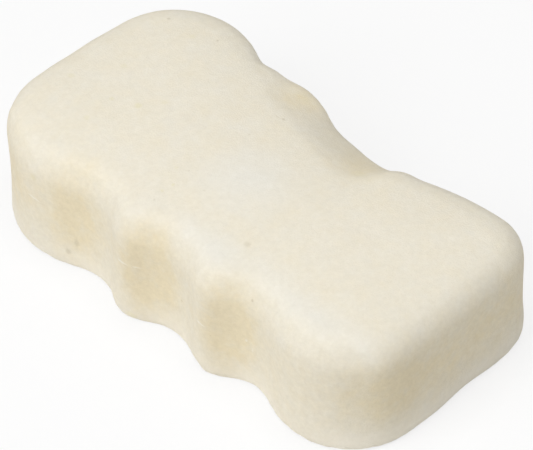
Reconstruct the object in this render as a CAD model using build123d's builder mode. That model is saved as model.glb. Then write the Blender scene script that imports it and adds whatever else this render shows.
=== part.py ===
"""Soap-filled body sponge: one moulded block of soft foam, about the size of a hand.

X runs along the block, with the broad end at -X. The finger side faces -Y, the thumb side
faces +Y, and +Z is up. The origin is the middle of the bottom of the block's box.
"""
from build123d import *
import os
from math import radians, sin, sqrt

os.makedirs("parts", exist_ok=True)

# Driving dimensions, in millimetres.
length = 147.0
width = 80.0
height = 38.0
foot_ease = 2.6              # the bottom's edge slopes in by this much

# The corners and the slow bulge of the two ends, seen from above.
end_radius = 350.0
broad_finger_corner = 25.0
broad_thumb_corner = 24.0
narrow_finger_corner = 22.0
narrow_thumb_corner = 14.0

# Finger side: three even hollows, with two ridges between them.
finger_pitch = 30.1
finger_depth = 4.6
finger_offset = 2.2          # the middle hollow lies this far towards the narrow end
finger_side_radius = 1500.0  # the ridges stand on a side that bows out a little

# Thumb side: a small waist hollow, a shoulder, the thumb hollow, a knee, then the narrow lobe.
waist_x = -29.2
waist_depth = 5.1            # from the broad lobe in to the waist hollow
shoulder_x = -16.4
shoulder_rise = 1.1          # from the waist hollow out to the shoulder
thumb_x = 17.1
thumb_depth = 6.3            # from the shoulder in to the thumb hollow
knee_x = 29.9
knee_rise = 1.6              # from the thumb hollow out to the knee
narrow_lobe_depth = 5.4      # the narrow lobe stands this much further in than the broad one

# The rolled top rim at each place: how far it reaches in, how far it drops, and how full its
# curve is. A fullness of 2 is a quarter ellipse, and nearer 1 is a slope with rounded ends.
finger_rim = (8.0, 9.8, 2.0)
narrow_end_rim = (8.4, 9.6, 2.0)
broad_end_rim = (7.0, 5.2, 2.0)
broad_lobe_rim = (8.8, 6.5, 2.0)
narrow_lobe_rim = (9.3, 7.0, 2.0)
waist_rim = (7.9, 5.1, 2.0)
shoulder_rim = (13.5, 6.2, 1.4)
thumb_rim = (15.0, 8.2, 1.4)
knee_rim = (8.0, 7.7, 1.6)

# Each turn's share of the flank between it and the next: the larger share takes more of it.
finger_hollow_share = 1.4
ridge_share = 1.0
lobe_share = 2.5
waist_share = 1.5
shoulder_share = 0.7
thumb_share = 1.8
knee_share = 1.2
narrow_lobe_share = 7.8

# The rim is lofted through levels at these angles around its quarter turn.
rim_angles = (0, 15, 32, 50, 66, 80, 90)
rim_height = max(drop for reach, drop, fullness in (finger_rim, narrow_end_rim, thumb_rim))
wall_top = height - rim_height


def finger_side_y(x):
    """Y of the finger side's ridges and lobes, which stand on a slow bow."""
    return -width / 2 + x**2 / (2 * finger_side_radius)


def inset(rim, z):
    """How far the surface at height z stands in from the wall, in the foot or in this rim."""
    reach, drop, fullness = rim
    in_foot = max(0.0, foot_ease - z)
    rise = min(1.0, max(0.0, z - (height - drop)) / drop)
    in_rim = reach * (1 - (1 - rise**fullness) ** (1 / fullness))
    return in_foot + in_rim


# Turning points of each side, from the broad end to the narrow one: x, y, rim and share.
finger_turns = []
for step in (-1.0, -0.5, 0.0, 0.5, 1.0):
    turn_x = finger_offset + step * finger_pitch
    if step in (-0.5, 0.5):
        finger_turns.append((turn_x, finger_side_y(turn_x), finger_rim, ridge_share))
    else:
        hollow_y = finger_side_y(turn_x) + finger_depth
        finger_turns.append((turn_x, hollow_y, finger_rim, finger_hollow_share))

waist_y = width / 2 - waist_depth
shoulder_y = waist_y + shoulder_rise
thumb_y = shoulder_y - thumb_depth
thumb_turns = [
    (waist_x, waist_y, waist_rim, waist_share),
    (shoulder_x, shoulder_y, shoulder_rim, shoulder_share),
    (thumb_x, thumb_y, thumb_rim, thumb_share),
    (knee_x, thumb_y + knee_rise, knee_rim, knee_share),
]


def corner_points(end, side, lobe_y, radius, lobe_rim, end_rim, z):
    """Where a corner's arc leaves its side and its end. end and side are -1 or +1."""
    side_inset = inset(lobe_rim, z)
    end_inset = inset(end_rim, z)
    corner_radius = radius - (side_inset + end_inset) / 2
    end_centre_x = end * (length / 2 - end_radius)
    centre_y = lobe_y - side * (side_inset + corner_radius)
    centre_gap = end_radius - end_inset - corner_radius
    centre_x = end_centre_x + end * sqrt(centre_gap**2 - centre_y**2)
    outward = Vector(centre_x - end_centre_x, centre_y).normalized()
    on_side = Vector(centre_x, centre_y + side * corner_radius)
    on_end = Vector(end_centre_x, 0) + outward * (end_radius - end_inset)
    return on_side, on_end


def side_arcs(side, start, turns, finish, finish_share, z):
    """Pairs of tangent arcs from corner to corner, level with X at every turning point."""
    points = [(start, lobe_share)]
    for x, y, rim, share in turns:
        points.append((Vector(x, y - side * inset(rim, z)), share))
    points.append((finish, finish_share))
    for (here, here_share), (there, there_share) in zip(points, points[1:]):
        meeting = here + (there - here) * (here_share / (here_share + there_share))
        TangentArc(here, meeting, tangent=(1, 0))
        TangentArc(there, meeting, tangent=(-1, 0))


def block_level(z):
    """The block's section at height z, as a face bounded by tangent arcs."""
    broad_finger_y = finger_side_y(length / 2 - broad_finger_corner)
    narrow_finger_y = finger_side_y(length / 2 - narrow_finger_corner)
    narrow_lobe_y = width / 2 - narrow_lobe_depth
    finger_start, broad_end_finger = corner_points(
        -1, -1, broad_finger_y, broad_finger_corner, finger_rim, broad_end_rim, z)
    finger_finish, narrow_end_finger = corner_points(
        1, -1, narrow_finger_y, narrow_finger_corner, finger_rim, narrow_end_rim, z)
    thumb_start, broad_end_thumb = corner_points(
        -1, 1, width / 2, broad_thumb_corner, broad_lobe_rim, broad_end_rim, z)
    thumb_finish, narrow_end_thumb = corner_points(
        1, 1, narrow_lobe_y, narrow_thumb_corner, narrow_lobe_rim, narrow_end_rim, z)
    narrow_end = (length / 2 - inset(narrow_end_rim, z), 0)
    broad_end = (inset(broad_end_rim, z) - length / 2, 0)
    with BuildSketch(Plane.XY.offset(z)) as level:
        with BuildLine():
            side_arcs(-1, finger_start, finger_turns, finger_finish, lobe_share, z)
            TangentArc(finger_finish, narrow_end_finger, tangent=(1, 0))
            ThreePointArc(narrow_end_finger, narrow_end, narrow_end_thumb)
            TangentArc(thumb_finish, narrow_end_thumb, tangent=(1, 0))
            side_arcs(1, thumb_start, thumb_turns, thumb_finish, narrow_lobe_share, z)
            TangentArc(thumb_start, broad_end_thumb, tangent=(-1, 0))
            ThreePointArc(broad_end_thumb, broad_end, broad_end_finger)
            TangentArc(finger_start, broad_end_finger, tangent=(-1, 0))
        make_face()
    return level.sketch.face()


rim_levels = [wall_top + rim_height * sin(radians(angle)) for angle in rim_angles]

with BuildPart() as sponge_body:
    # Foot, sloping from the flat bottom out to the wall.
    loft([block_level(0), block_level(foot_ease)], ruled=True)
    # Upright wall.
    extrude(block_level(foot_ease), amount=wall_top - foot_ease)
    # Rolled top rim, from the wall in to the flat top.
    loft([block_level(z) for z in rim_levels])

sponge_body.part.label = "sponge_body"
export_step(sponge_body.part, "parts/sponge_body.step")
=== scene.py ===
"""Soap-filled body sponge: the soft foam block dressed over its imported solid, with its stage."""

import bmesh
import bpy
from math import cos, pi, radians, sin, sqrt
from mathutils import Matrix, Vector, noise
from mathutils.bvhtree import BVHTree
from mathutils.kdtree import KDTree


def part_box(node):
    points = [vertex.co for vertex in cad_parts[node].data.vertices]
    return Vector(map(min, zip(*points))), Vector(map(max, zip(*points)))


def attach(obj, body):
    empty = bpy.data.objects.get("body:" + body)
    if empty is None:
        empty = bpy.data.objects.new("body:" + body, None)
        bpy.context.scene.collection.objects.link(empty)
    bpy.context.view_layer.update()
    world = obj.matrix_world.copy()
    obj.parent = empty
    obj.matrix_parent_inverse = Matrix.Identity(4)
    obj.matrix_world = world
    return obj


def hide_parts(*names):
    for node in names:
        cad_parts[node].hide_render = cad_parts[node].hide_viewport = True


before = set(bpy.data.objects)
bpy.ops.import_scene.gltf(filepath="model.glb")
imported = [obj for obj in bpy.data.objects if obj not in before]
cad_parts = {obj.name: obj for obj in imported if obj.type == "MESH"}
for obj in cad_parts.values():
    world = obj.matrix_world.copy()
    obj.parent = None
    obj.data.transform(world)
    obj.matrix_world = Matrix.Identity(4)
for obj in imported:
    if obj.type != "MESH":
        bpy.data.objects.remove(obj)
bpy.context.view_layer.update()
MM = 0.001

# Foam block.
# The real piece is one moulding of soft polyurethane foam, soaked with soap that has dried in
# it. The foam swells a little between its edges, so the top crowns and the walls draw in.
foam_voxel = 1.3 * MM        # the skin's points lie about this far apart
even_rounds = 10
even_pull = 0.5
even_push = 0.53             # a little more than the pull, so that the form keeps its size

# The solid's foot is eased further than the foam's, and its flat top is about as high as the
# foam's crown.
foot_of_solid = 2.6 * MM
foot_of_foam = 0.8 * MM
rim_level = 36.0 * MM        # the foam's top where it meets its rim

crown_rise = 1.7 * MM
crown_edge = 24 * MM         # the crown has risen in full this far in from the rim
rim_turn = 0.985             # the rim starts where the skin's normal points up by less than this

wall_middle = 16 * MM        # the walls draw in most at this height, and fade over this reach
wall_reach = 14 * MM
long_wall_draw = 0.35 * MM
narrow_wall_draw = 0.6 * MM

finger_side_lean = 1.5 * MM  # the finger side leans in by this much from its foot to its rim
lean_curve = 0.6             # below 1, the lean is steepest at the foot
rim_roll = 3.8 * MM          # the rim's roll is this high, and the lean fades over it
lean_at_rim = 0.5            # the top's edge follows this much of the lean
nearly_level = 0.02          # skin that faces sideways by less than this doesn't lean
fully_steep = 0.4            # and skin that faces sideways by more than this leans in full
lean_round_corner = 0.1      # the lean reaches this much further round the near corner
lean_starts = 0.45           # the lean is there from where the skin faces the finger side by
lean_span = 0.4              # this share, and in full this much further on

broad_end_skew = 0.022       # how far the broad end is out of square
skew_start = 0.3             # it starts this far towards that end, as a share of the half length
ripple_size = 16 * MM
ripple_height = 0.12 * MM
ripple_start = 4 * MM        # the ripple grows from the flat bottom up to this height

low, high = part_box("sponge_body")
middle = (low + high) / 2
half_length = (high.x - low.x) / 2
half_width = (high.y - low.y) / 2
top_z = high.z

def bell(t):
    """A smooth hump that is 1 at t = 0 and falls to 0 at t = -1 and 1."""
    return 0.5 * (1 + cos(pi * min(1.0, abs(t))))

def ease(t):
    """A smooth step from 0 at t = 0 to 1 at t = 1."""
    t = min(1.0, max(0.0, t))
    return t * t * (3 - 2 * t)

def soft_min(a, b, reach):
    """The lower of a and b, with the change from one to the other rounded off."""
    return (a + b - sqrt((a - b) ** 2 + reach ** 2)) / 2

def soft_max(a, b, reach):
    """The higher of a and b, with the change from one to the other rounded off."""
    return -soft_min(-a, -b, reach)

def baked_copy(piece):
    """The piece's mesh with its modifiers worked in."""
    bpy.context.view_layer.update()
    return bpy.data.meshes.new_from_object(
        piece.evaluated_get(bpy.context.evaluated_depsgraph_get()))

def smooth_without_shrinking(bm, rounds):
    """Evens the skin out, pushing back after each pull so that the form keeps its size."""
    for _ in range(rounds):
        for pull in (even_pull, -even_push):
            bmesh.ops.smooth_vert(bm, verts=bm.verts, factor=pull, use_axis_x=True,
                                  use_axis_y=True, use_axis_z=True)

def on_top(along, across):
    """A place on the top, from its shares of the block's half length and half width."""
    return Vector((along * half_length, across * half_width))

# The thumb's scoop is three slopes that fall away from the flat top. Each starts along the
# line between two places and falls by its steepness, and the highest of them is the surface.
scoop_slopes = (
    (on_top(-0.38, 0.78), on_top(-0.116, 0.48), 0.36),
    (on_top(-0.05, 0.50), on_top(0.27, 0.375), 0.60),
    (on_top(0.27, 0.375), on_top(0.33, 0.60), 0.80),
)
scoop_blend = 1.8 * MM
scoop_floor = 25 * MM        # the thumb side's wall keeps its form below this height,
scoop_half_length = 45 * MM  # and the two lobes keep theirs this far from the middle

def scoop_height(spot):
    """Height of the scoop's surface over this place, which lies above the top outside it."""
    heights = []
    for start, end, steepness in scoop_slopes:
        line = (end - start).normalized()
        beyond = (spot.x - start.x) * -line.y + (spot.y - start.y) * line.x
        heights.append(-steepness * beyond)
    shoulder, thumb, knee = heights
    return rim_level + soft_max(soft_max(shoulder, thumb, scoop_blend), knee, scoop_blend)

# Soft unevenness that each moulded block has of its own. Each is a place, as shares of the
# half length, the half width and the height, with its reach and how far it stands out.
uneven_places = (
    (0.99, 0.10, 0.02, 13 * MM, -0.75 * MM),
    (0.94, 0.75, 0.40, 15 * MM, 0.55 * MM),
    (0.94, 0.76, 0.13, 8 * MM, 0.45 * MM),
    (0.43, -0.92, 0.02, 11 * MM, -0.50 * MM),
    (0.18, -0.98, 0.02, 6 * MM, -0.60 * MM),
    (-0.22, 0.87, 0.84, 8 * MM, 0.60 * MM),
    (-0.42, 0.86, 0.86, 6 * MM, -0.60 * MM),
    (0.01, 0.79, 0.76, 7 * MM, -0.35 * MM),
    (-0.12, 0.86, 0.78, 6 * MM, 0.35 * MM),
    (0.28, 0.72, 0.80, 6 * MM, -0.25 * MM),
    (-0.97, 0.40, 0.88, 16 * MM, -0.40 * MM),
    (-0.97, 0.00, 0.92, 9 * MM, -0.28 * MM),
    (-0.96, -0.64, 0.86, 8 * MM, -0.25 * MM),
)

def unevenness(spot, outward):
    """How far the block's own bumps and dents move this place."""
    shift = Vector()
    for along, across, up, reach, stands_out in uneven_places:
        place = Vector((along * half_length, across * half_width, up * top_z))
        shift += outward * (stands_out * bell((spot - place).length / reach))
    return shift

def rim_finder(bm):
    """A search tree of the points where the flat top rolls over into its rim."""
    rolling = [vert.co for vert in bm.verts if vert.co.z > top_z / 2 and vert.normal.z < rim_turn]
    tree = KDTree(len(rolling))
    for index, spot in enumerate(rolling):
        tree.insert(spot, index)
    tree.balance()
    return tree

def lean_in(spot, outward):
    """How the finger side and its corner lean in towards the rim."""
    level = Vector((outward.x, outward.y, 0))
    if level.length < nearly_level:
        return Vector()
    steepness = ease(level.length / fully_steep)
    level.normalize()
    facing = lean_round_corner * level.x - level.y
    on_finger_side = ease((facing - lean_starts) / lean_span)
    by_height = min(1.0, max(0.0, spot.z / (rim_level - rim_roll))) ** lean_curve
    by_height *= lean_at_rim + (1 - lean_at_rim) * ease((rim_level - spot.z) / rim_roll)
    return level * (-finger_side_lean * steepness * on_finger_side * by_height)

def swell(spot, outward, rim_tree):
    """How far the foam stands out of, or draws into, its mould's form at this place."""
    crown = 0.0
    if outward.z > rim_turn:
        from_rim = rim_tree.find(spot)[2]
        crown = crown_rise * (1 - (1 - min(1.0, from_rim / crown_edge)) ** 2)
    end_share = max(0.0, outward.x) ** 2
    draw = long_wall_draw + (narrow_wall_draw - long_wall_draw) * end_share
    wall = 1 - outward.z ** 2
    drawn_in = draw * wall * bell((spot.z - wall_middle) / wall_reach)
    ripple = ripple_height * noise.noise(spot / ripple_size) * ease(spot.z / ripple_start)
    shift = outward * (ripple - drawn_in) + lean_in(spot, outward)
    shift.z += crown
    shift.x += broad_end_skew * spot.y * ease(-spot.x / half_length - skew_start)
    if spot.z > scoop_floor and spot.y > 0 and abs(spot.x) < scoop_half_length:
        shift.z += soft_min(spot.z, scoop_height(spot), scoop_blend) - spot.z
    return shift

def fit_to_foam(bm):
    """Lowers the solid's top to the foam's rim, and narrows the slope round its foot."""
    top_of_foot = foot_of_solid * 1.01
    bm.normal_update()
    for vert in bm.verts:
        if vert.co.z < foot_of_solid / 2:
            sideways = Vector((vert.normal.x, vert.normal.y, 0))
            vert.co += sideways.normalized() * (foot_of_solid - foot_of_foam)
        elif vert.co.z < top_of_foot:
            vert.co.z = foot_of_foam
        else:
            vert.co.z *= rim_level / top_z

block_bm = bmesh.new()
block_bm.from_mesh(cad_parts["sponge_body"].data)
bmesh.ops.remove_doubles(block_bm, verts=block_bm.verts, dist=0.002 * MM)
fit_to_foam(block_bm)
block_mesh = bpy.data.meshes.new("foam_block")
block_bm.to_mesh(block_mesh)
block_bm.free()
sponge = bpy.data.objects.new("foam_block", block_mesh)
bpy.context.scene.collection.objects.link(sponge)
remesh = sponge.modifiers.new("even_skin", "REMESH")
remesh.mode = "VOXEL"
remesh.voxel_size = foam_voxel
remesh.use_smooth_shade = True
even_mesh = baked_copy(sponge)
sponge.modifiers.clear()
sponge.data = even_mesh

skin = bmesh.new()
skin.from_mesh(sponge.data)
smooth_without_shrinking(skin, even_rounds)
skin.normal_update()
top_rim = rim_finder(skin)
shifts = [swell(vert.co, vert.normal, top_rim) + unevenness(vert.co, vert.normal)
          for vert in skin.verts]
for vert, shift in zip(skin.verts, shifts):
    vert.co += shift
skin.to_mesh(sponge.data)
skin.free()
for face in sponge.data.polygons:
    face.use_smooth = True
fine = sponge.modifiers.new("fine_skin", "SUBSURF")
fine.levels = 1
fine.render_levels = 1

# Where the soap lies close under the skin the cream foam turns yellow: in the finger hollows,
# on the thumb's side and over the narrow end. It is palest along the finger side's rim.
plain_soap = 0.34

# An upright oval patch lies in each finger hollow. The pitch and the middle hollow's place are
# those that the solid's hollows have.
finger_pitch = 30.1 * MM
middle_finger = 2.2 * MM
patch_offset = 7.5 * MM      # each hollow's patch lies this far towards the broad end
patch_height = 19 * MM
patch_half_width = 13 * MM
patch_half_height = 26 * MM
patch_strengths = (0.60, 0.80, 0.75)
patch_starts = 24 * MM       # the patches start this far out from the block's middle line,
patch_fade = 8 * MM          # and are there in full this much further out

def finger_patches(spot):
    """How yellow the three finger hollows are at this place."""
    depth = 0.0
    for step, strength in zip((-1, 0, 1), patch_strengths):
        patch_x = middle_finger + step * finger_pitch - patch_offset
        across = (spot.x - patch_x) / patch_half_width
        up = (spot.z - patch_height) / patch_half_height
        depth += strength * bell(sqrt(across ** 2 + up ** 2))
    return depth * ease((-spot.y - patch_starts) / patch_fade)

# Yellower and paler places on the top and the thumb's side, seen from above: X and Y, the
# reach, and how much yellower each is, or paler where that is below 0. All lengths are in mm.
soap_places = (
    (-13.0, 31.0, 12.0, 0.50),
    (18.0, 21.0, 14.0, 0.35),
    (2.0, -6.0, 19.0, -0.32),
)
wall_soap_height = 20 * MM   # the walls are yellowest at this height, and cream this far off it
long_wall_soap = 0.15
narrow_wall_soap = 0.50
broad_wall_soap = 0.30
broad_wall_starts = 40 * MM  # the walls round the broad end start this far from the middle,
broad_wall_fade = 20 * MM    # and have all their yellow this much further on
near_corner = Vector((70.0, -22.0, 20.0)) * MM
near_corner_reach = 17 * MM
near_corner_soap = 0.30

# The pale band along the finger side's rim, which fades out towards the broad end.
pale_rim_y = -30 * MM
pale_rim_half_width = 10 * MM
pale_rim_starts = -25 * MM
pale_rim_fade = 30 * MM
pale_rim_strength = 0.28

def soap_near_skin(spot, outward):
    """How yellow the foam is at this place, from 0 where it is cream to 1."""
    wall = 1 - max(0.0, outward.z) ** 2
    end = max(0.0, outward.x) ** 2
    mid_wall = bell((spot.z - wall_soap_height) / wall_soap_height)
    wall_soap = long_wall_soap * (1 - end) + narrow_wall_soap * end
    wall_soap += broad_wall_soap * ease((-spot.x - broad_wall_starts) / broad_wall_fade)
    depth = plain_soap + finger_patches(spot) + wall * mid_wall * wall_soap
    from_above = Vector((spot.x, spot.y))
    for along, across, reach, yellower in soap_places:
        place = Vector((along, across)) * MM
        depth += yellower * bell((from_above - place).length / (reach * MM))
    depth += near_corner_soap * bell((spot - near_corner).length / near_corner_reach)
    pale_rim = bell((spot.y - pale_rim_y) / pale_rim_half_width)
    pale_rim *= ease((spot.x - pale_rim_starts) / pale_rim_fade)
    depth -= pale_rim_strength * pale_rim * (1 - wall)
    return min(1.0, max(0.0, depth))

# Painted light: the foam is painted paler round its foot, most in the finger hollows and on the
# narrow end, where the floor throws light up onto it.
floor_light_height = 11 * MM    # the painted light fades out at this height
foot_floor_light = 0.20
hollow_floor_light = 0.35            # more in the finger hollows
end_floor_light = 0.40               # and more on the narrow end
hollow_wall_y = -38.5 * MM   # the finger side's wall is in a hollow from here inwards,
hollow_wall_fade = 5 * MM    # and at its deepest this much further in

def painted_floor_light(spot, outward):
    """How much painted light from the floor lies here, which is round its foot."""
    in_hollow = ease((spot.y - hollow_wall_y) / hollow_wall_fade) * ease(-outward.y)
    end = max(0.0, outward.x) ** 2
    share = foot_floor_light + hollow_floor_light * in_hollow + end_floor_light * end
    return share * ease(1 - spot.z / floor_light_height)

soap = sponge.data.attributes.new("soap_near_skin", "FLOAT", "POINT")
open_pores = sponge.data.attributes.new("open_pores", "FLOAT", "POINT")
floor_light_share = sponge.data.attributes.new("painted_floor_light", "FLOAT", "POINT")
for vert in sponge.data.vertices:
    soap.data[vert.index].value = soap_near_skin(vert.co, vert.normal)
    open_pores.data[vert.index].value = 1 - max(0.0, vert.normal.z) ** 2
    floor_light_share.data[vert.index].value = painted_floor_light(vert.co, vert.normal)

# The foam's colours are cream, the yellow of the soap and a pale one, which is painted light from
# the floor round the foot. The other four are what its pores, its small marks and its painted
# shade turn them towards.
cream = (0.876, 0.845, 0.756, 1)
soap_yellow = (0.880, 0.780, 0.566, 1)
floor_light_pale = (0.975, 0.920, 0.800, 1)
pore_shade = (0.780, 0.765, 0.730, 1)
spot_yellow = (0.970, 0.965, 0.880, 1)
speck_and_shade_grey = (0.840, 0.820, 0.770, 1)
scratch_pale = (0.960, 0.930, 0.860, 1)
scratch_strength = 0.5

cloud_size = 9 * MM
blotch_size = 3.5 * MM
mottle_size = 1.6 * MM
pore_size = 0.45 * MM
pore_depth = 0.15 * MM
grain_range = (0.25, 0.75)   # a grain's values lie almost all in this range

foam = bpy.data.materials.new("soap_foam")
foam.use_nodes = True
foam_nodes, foam_links = foam.node_tree.nodes, foam.node_tree.links
shader = foam_nodes["Principled BSDF"]
block_place = foam_nodes.new("ShaderNodeTexCoord").outputs["Object"]

def spread(value, least, most, from_least=0.0, from_most=1.0, smooth=False):
    """The value carried over from one range to another."""
    node = foam_nodes.new("ShaderNodeMapRange")
    node.interpolation_type = "SMOOTHSTEP" if smooth else "LINEAR"
    limits = {"From Min": from_least, "From Max": from_most, "To Min": least, "To Max": most}
    for name, limit in limits.items():
        node.inputs[name].default_value = limit
    foam_links.new(value, node.inputs["Value"])
    return node.outputs["Result"]

def combine(operation, first, second):
    """Two values worked together by a math operation. Each is a socket or a plain number."""
    node = foam_nodes.new("ShaderNodeMath")
    node.operation = operation
    for socket, value in zip(node.inputs, (first, second)):
        if isinstance(value, float):
            socket.default_value = value
        else:
            foam_links.new(value, socket)
    return node.outputs["Value"]

def vector(operation, first, second=None):
    """A vector operation on a socket and a plain vector."""
    node = foam_nodes.new("ShaderNodeVectorMath")
    node.operation = operation
    foam_links.new(first, node.inputs[0])
    if second is not None:
        node.inputs[1].default_value = second
    return node.outputs["Value" if operation == "LENGTH" else "Vector"]

def grain(size, detail, roughness):
    """A cloudy pattern, with lumps of about this size."""
    node = foam_nodes.new("ShaderNodeTexNoise")
    node.inputs["Scale"].default_value = 1 / size
    node.inputs["Detail"].default_value = detail
    node.inputs["Roughness"].default_value = roughness
    foam_links.new(block_place, node.inputs["Vector"])
    return node.outputs["Fac"]

def blended(kind, amount, first, second):
    """Two colours mixed by an amount. A colour is either a socket or a plain value."""
    node = foam_nodes.new("ShaderNodeMix")
    node.data_type = "RGBA"
    node.blend_type = kind
    # The node has a set of sockets for each kind of value. These are the ones for colours.
    first_socket, second_socket, result = node.inputs[6], node.inputs[7], node.outputs[2]
    for socket, colour in ((first_socket, first), (second_socket, second)):
        if isinstance(colour, tuple):
            socket.default_value = colour
        else:
            foam_links.new(colour, socket)
    foam_links.new(amount, node.inputs[0])
    return result

def attribute(name):
    """The value that each point of the mesh has under this name."""
    node = foam_nodes.new("ShaderNodeAttribute")
    node.attribute_name = name
    return node.outputs["Fac"]

soap_clouds = spread(grain(cloud_size, 6.0, 0.55), -0.11, 0.11, *grain_range)
soap_blotches = spread(grain(blotch_size, 4.0, 0.6), 0.72, 1.28, *grain_range)
soap_depth = combine("MULTIPLY", attribute("soap_near_skin"), soap_blotches)
soap_depth = combine("ADD", soap_depth, soap_clouds)
colour = blended("MIX", soap_depth, cream, soap_yellow)

# The skin's fine mottle is stronger on the walls, where the pores stand open.
foam_mottle = spread(grain(mottle_size, 5.0, 0.72), 0.0, 1.0, *grain_range)
mottle_share = combine("MULTIPLY", foam_mottle, spread(attribute("open_pores"), 0.36, 0.55))
colour = blended("MULTIPLY", mottle_share, colour, pore_shade)

# The small marks that this block has picked up, and some wide patches of painted shade. Each is a
# place near the skin and its reach along X, Y and Z, all in millimetres, and how strong it is.
soap_spots = (
    ((-39.8, -5.7, 37.7), (1.5, 1.5, 1.5), 1.0),
    ((-47.2, -8.7, 37.7), (1.1, 1.1, 1.1), 0.9),
    ((-62.9, -9.1, 36.7), (1.8, 1.4, 1.4), 0.6),
    ((-54.8, 3.0, 37.4), (1.6, 1.3, 1.3), 0.5),
    ((-49.8, 24.8, 37.0), (1.5, 1.3, 1.3), 0.5),
    ((-46.8, -18.5, 37.4), (1.4, 1.2, 1.2), 0.5),
    ((-35.5, 0.0, 37.7), (1.3, 1.3, 1.3), 0.5),
    ((-10.9, -20.5, 37.3), (0.8, 0.8, 0.8), 0.9),
    ((-11.6, -24.0, 37.1), (0.8, 0.7, 0.7), 0.8),
    ((-14.8, -15.6, 37.5), (0.8, 0.8, 0.8), 0.6),
    ((20.6, 18.1, 34.7), (3.5, 3.0, 3.0), 0.5),
    ((-12.9, 31.1, 32.6), (3.5, 3.5, 3.0), 0.3),
    ((-48.3, -37.7, 27.3), (1.5, 1.5, 1.3), 0.7),
    ((-10.4, -39.3, 1.9), (2.5, 3.0, 1.6), 0.9),
)
dark_specks_and_painted_shade = (
    ((19.2, -22.8, 37.1), (1.5, 1.3, 1.3), 0.60),
    ((-8.3, 18.6, 36.1), (0.9, 0.6, 0.6), 0.90),
    ((-10.0, 18.2, 36.3), (1.8, 0.35, 0.6), 0.60),
    ((-60.7, 26.0, 36.4), (0.9, 0.7, 0.8), 0.80),
    ((-44.1, 28.9, 36.4), (0.55, 0.5, 0.5), 0.90),
    ((-3.2, -16.5, 37.4), (0.6, 0.5, 0.5), 0.40),
    ((-11.6, -14.2, 37.6), (0.5, 0.5, 0.5), 0.50),
    ((-9.8, 7.1, 37.3), (0.6, 0.6, 0.6), 0.45),
    ((-10.9, -27.6, 36.7), (0.6, 0.5, 0.5), 0.45),
    ((30.5, -32.6, 31.4), (0.6, 0.5, 0.5), 0.95),
    ((5.1, -34.4, 14.7), (0.5, 0.5, 0.5), 0.75),
    ((19.9, -38.2, 14.8), (0.5, 0.5, 0.5), 0.65),
    ((-37.4, -36.8, 5.7), (1.2, 1.5, 1.4), 0.75),
    ((-35.1, -35.5, 9.8), (1.1, 1.5, 1.8), 0.60),
    # Four wide, faint ones are painted shade, not marks: in the thumb's scoop, darkening towards
    # its outline, at the near corner and on the two flanks between the finger hollows.
    ((6.0, 27.0, 32.0), (21.0, 11.0, 10.0), 0.38),
    ((70.0, -22.0, 22.0), (18.0, 18.0, 18.0), 0.14),
    ((-10.5, -38.0, 18.0), (5.0, 5.0, 17.0), 0.22),
    ((19.5, -38.0, 15.0), (5.0, 5.0, 16.0), 0.22),
)
pale_scratches = (
    ((-49.1, -37.7, 19.2), (3.6, 1.5, 0.45), 0.8),
    ((-13.5, -38.4, 19.5), (3.0, 1.5, 0.45), 0.9),
    ((-8.4, -37.4, 20.0), (2.2, 1.5, 0.35), 0.7),
    ((16.5, -38.5, 17.1), (2.4, 1.5, 0.40), 0.9),
    ((29.2, -34.1, 16.5), (0.6, 0.6, 0.6), 0.8),
    ((31.2, -33.9, 13.9), (0.4, 0.4, 1.2), 0.5),
)
skin_tree = BVHTree.FromPolygons([vert.co for vert in sponge.data.vertices],
                                 [face.vertices for face in sponge.data.polygons])

# The marks' edges are frayed by a noise that moves each place by up to this much. On average
# it moves a place by half of it, so the marks' own places are moved by that half too.
fray_reach = 0.8 * MM
fray_size = 1.5 * MM
full_core = 0.3              # a mark is at its full strength out to this share of its reach
frayed = foam_nodes.new("ShaderNodeTexNoise")
frayed.inputs["Scale"].default_value = 1 / fray_size
foam_links.new(block_place, frayed.inputs["Vector"])
fray = foam_nodes.new("ShaderNodeVectorMath")
fray.operation = "MULTIPLY_ADD"
fray.inputs[1].default_value = (fray_reach, fray_reach, fray_reach)
foam_links.new(frayed.outputs["Color"], fray.inputs[0])
foam_links.new(block_place, fray.inputs[2])

def marks(places):
    """How much of a mark lies at each point of the skin, with slightly frayed edges."""
    half_fray = Vector((fray_reach, fray_reach, fray_reach)) / 2
    share = 0.0
    for spot, reach, strength in places:
        on_skin = skin_tree.find_nearest(Vector(spot) * MM)[0] + half_fray
        away = vector("DIVIDE", vector("SUBTRACT", fray.outputs["Vector"], on_skin),
                      Vector(reach) * MM)
        here = spread(vector("LENGTH", away), strength, 0.0, full_core, 1.0, smooth=True)
        share = combine("MAXIMUM", here, share)
    return share

# Painted light: the foot is turned paler where the floor would light it from below.
colour = blended("MIX", attribute("painted_floor_light"), colour, floor_light_pale)
colour = blended("MULTIPLY", marks(soap_spots), colour, spot_yellow)
# Dark specks, and painted shade in the thumb's scoop, at the near corner and on the flanks between
# the finger hollows.
colour = blended("MULTIPLY", marks(dark_specks_and_painted_shade), colour, speck_and_shade_grey)
scratches = combine("MULTIPLY", marks(pale_scratches), scratch_strength)
colour = blended("MIX", scratches, colour, scratch_pale)
foam_links.new(colour, shader.inputs["Base Color"])
foam_links.new(spread(foam_mottle, 0.85, 0.95), shader.inputs["Roughness"])
shader.inputs["Specular IOR Level"].default_value = 0.25

pores = foam_nodes.new("ShaderNodeBump")
pores.inputs["Strength"].default_value = 0.8
pores.inputs["Distance"].default_value = pore_depth
foam_links.new(grain(pore_size, 3.0, 0.6), pores.inputs["Height"])
foam_links.new(pores.outputs["Normal"], shader.inputs["Normal"])
sponge.data.materials.clear()
sponge.data.materials.append(foam)
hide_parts("sponge_body")
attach(sponge, "root")

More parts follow.
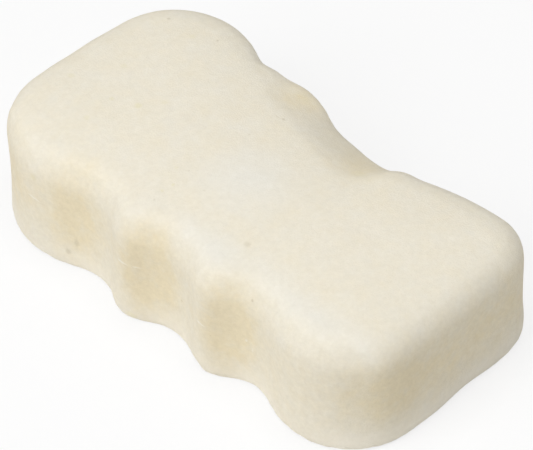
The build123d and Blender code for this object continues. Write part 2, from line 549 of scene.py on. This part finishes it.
# Floor.
# A plain pale table top, far larger than the sponge. It shows white behind the sponge and
# keeps the soft shadow that the sponge drops on it.
floor_half = 3.0
floor_colour = (0.90, 0.90, 0.90, 1)
backdrop_white = (1, 1, 1, 1)
backdrop_share = 0.75        # how much of the floor that the camera sees is plain white
floor_bm = bmesh.new()
bmesh.ops.create_grid(floor_bm, x_segments=1, y_segments=1, size=floor_half)
floor_mesh = bpy.data.meshes.new("floor")
floor_bm.to_mesh(floor_mesh)
floor_bm.free()
floor = bpy.data.objects.new("floor", floor_mesh)
bpy.context.scene.collection.objects.link(floor)
pale = bpy.data.materials.new("pale_table")
pale.use_nodes = True
nodes, links = pale.node_tree.nodes, pale.node_tree.links
nodes.clear()
matt = nodes.new("ShaderNodeBsdfDiffuse")
matt.inputs["Color"].default_value = floor_colour
glow = nodes.new("ShaderNodeEmission")
glow.inputs["Color"].default_value = backdrop_white
glow.inputs["Strength"].default_value = 1.0
ray = nodes.new("ShaderNodeLightPath")
glow_share = nodes.new("ShaderNodeMath")
glow_share.operation = "MULTIPLY"
glow_share.inputs[1].default_value = backdrop_share
blend = nodes.new("ShaderNodeMixShader")
out = nodes.new("ShaderNodeOutputMaterial")
links.new(ray.outputs["Is Camera Ray"], glow_share.inputs[0])
links.new(glow_share.outputs[0], blend.inputs["Fac"])
links.new(matt.outputs[0], blend.inputs[1])
links.new(glow.outputs[0], blend.inputs[2])
links.new(blend.outputs[0], out.inputs["Surface"])
floor_mesh.materials.append(pale)

# Studio light.
# Three wide soft lamps: a front one high over the finger side, one straight above, and a weak
# one over the narrow end, on the thumb's side. The white room fills the rest.
lamp_size = 1.1
lamp_distance = 1.6
front_power = 12.6
top_power = 12.1
side_power = 2.3
room_strength = 0.24

def soft_lamp(name, towards, power):
    """A square soft lamp that looks at the sponge's middle from the direction towards."""
    lamp = bpy.data.lights.new(name, "AREA")
    lamp.shape = "SQUARE"
    lamp.size = lamp_size
    lamp.energy = power
    holder = bpy.data.objects.new(name, lamp)
    bpy.context.scene.collection.objects.link(holder)
    direction = Vector(towards).normalized()
    holder.location = middle + direction * lamp_distance
    holder.rotation_euler = direction.to_track_quat("Z", "Y").to_euler()

soft_lamp("front_lamp", (-0.13, -0.75, 0.64), front_power)
soft_lamp("top_lamp", (0.02, 0.0, 1.0), top_power)
soft_lamp("side_lamp", (0.62, 0.40, 0.68), side_power)

room = bpy.data.worlds.new("room")
room.use_nodes = True
room_light = room.node_tree.nodes["Background"]
room_light.inputs["Color"].default_value = (1, 1, 1, 1)
room_light.inputs["Strength"].default_value = room_strength
bpy.context.scene.world = room

# Camera.
# A long lens looks down at the sponge across the corner between its finger side and its
# narrow end, from a little under a metre away, and is turned a little about its own line.
view_azimuth = radians(45.92)
view_height = radians(44.67)
view_roll = radians(-1.84)
view_distance = 0.9275
view_lens = 230.7
sensor_width = 36.0
aim = Vector((0.00270, 0.00031, 0.01641))

backwards = Vector((sin(view_azimuth) * cos(view_height), -cos(view_azimuth) * cos(view_height),
                    sin(view_height)))
lens = bpy.data.cameras.new("camera")
lens.sensor_width = sensor_width
lens.lens = view_lens
lens.clip_start = 0.05
camera = bpy.data.objects.new("camera", lens)
bpy.context.scene.collection.objects.link(camera)
turn = backwards.to_track_quat("Z", "Y").to_matrix() @ Matrix.Rotation(view_roll, 3, "Z")
camera.matrix_world = Matrix.Translation(aim + backwards * view_distance) @ turn.to_4x4()
bpy.context.scene.camera = camera
bpy.context.scene.view_settings.view_transform = "Standard"
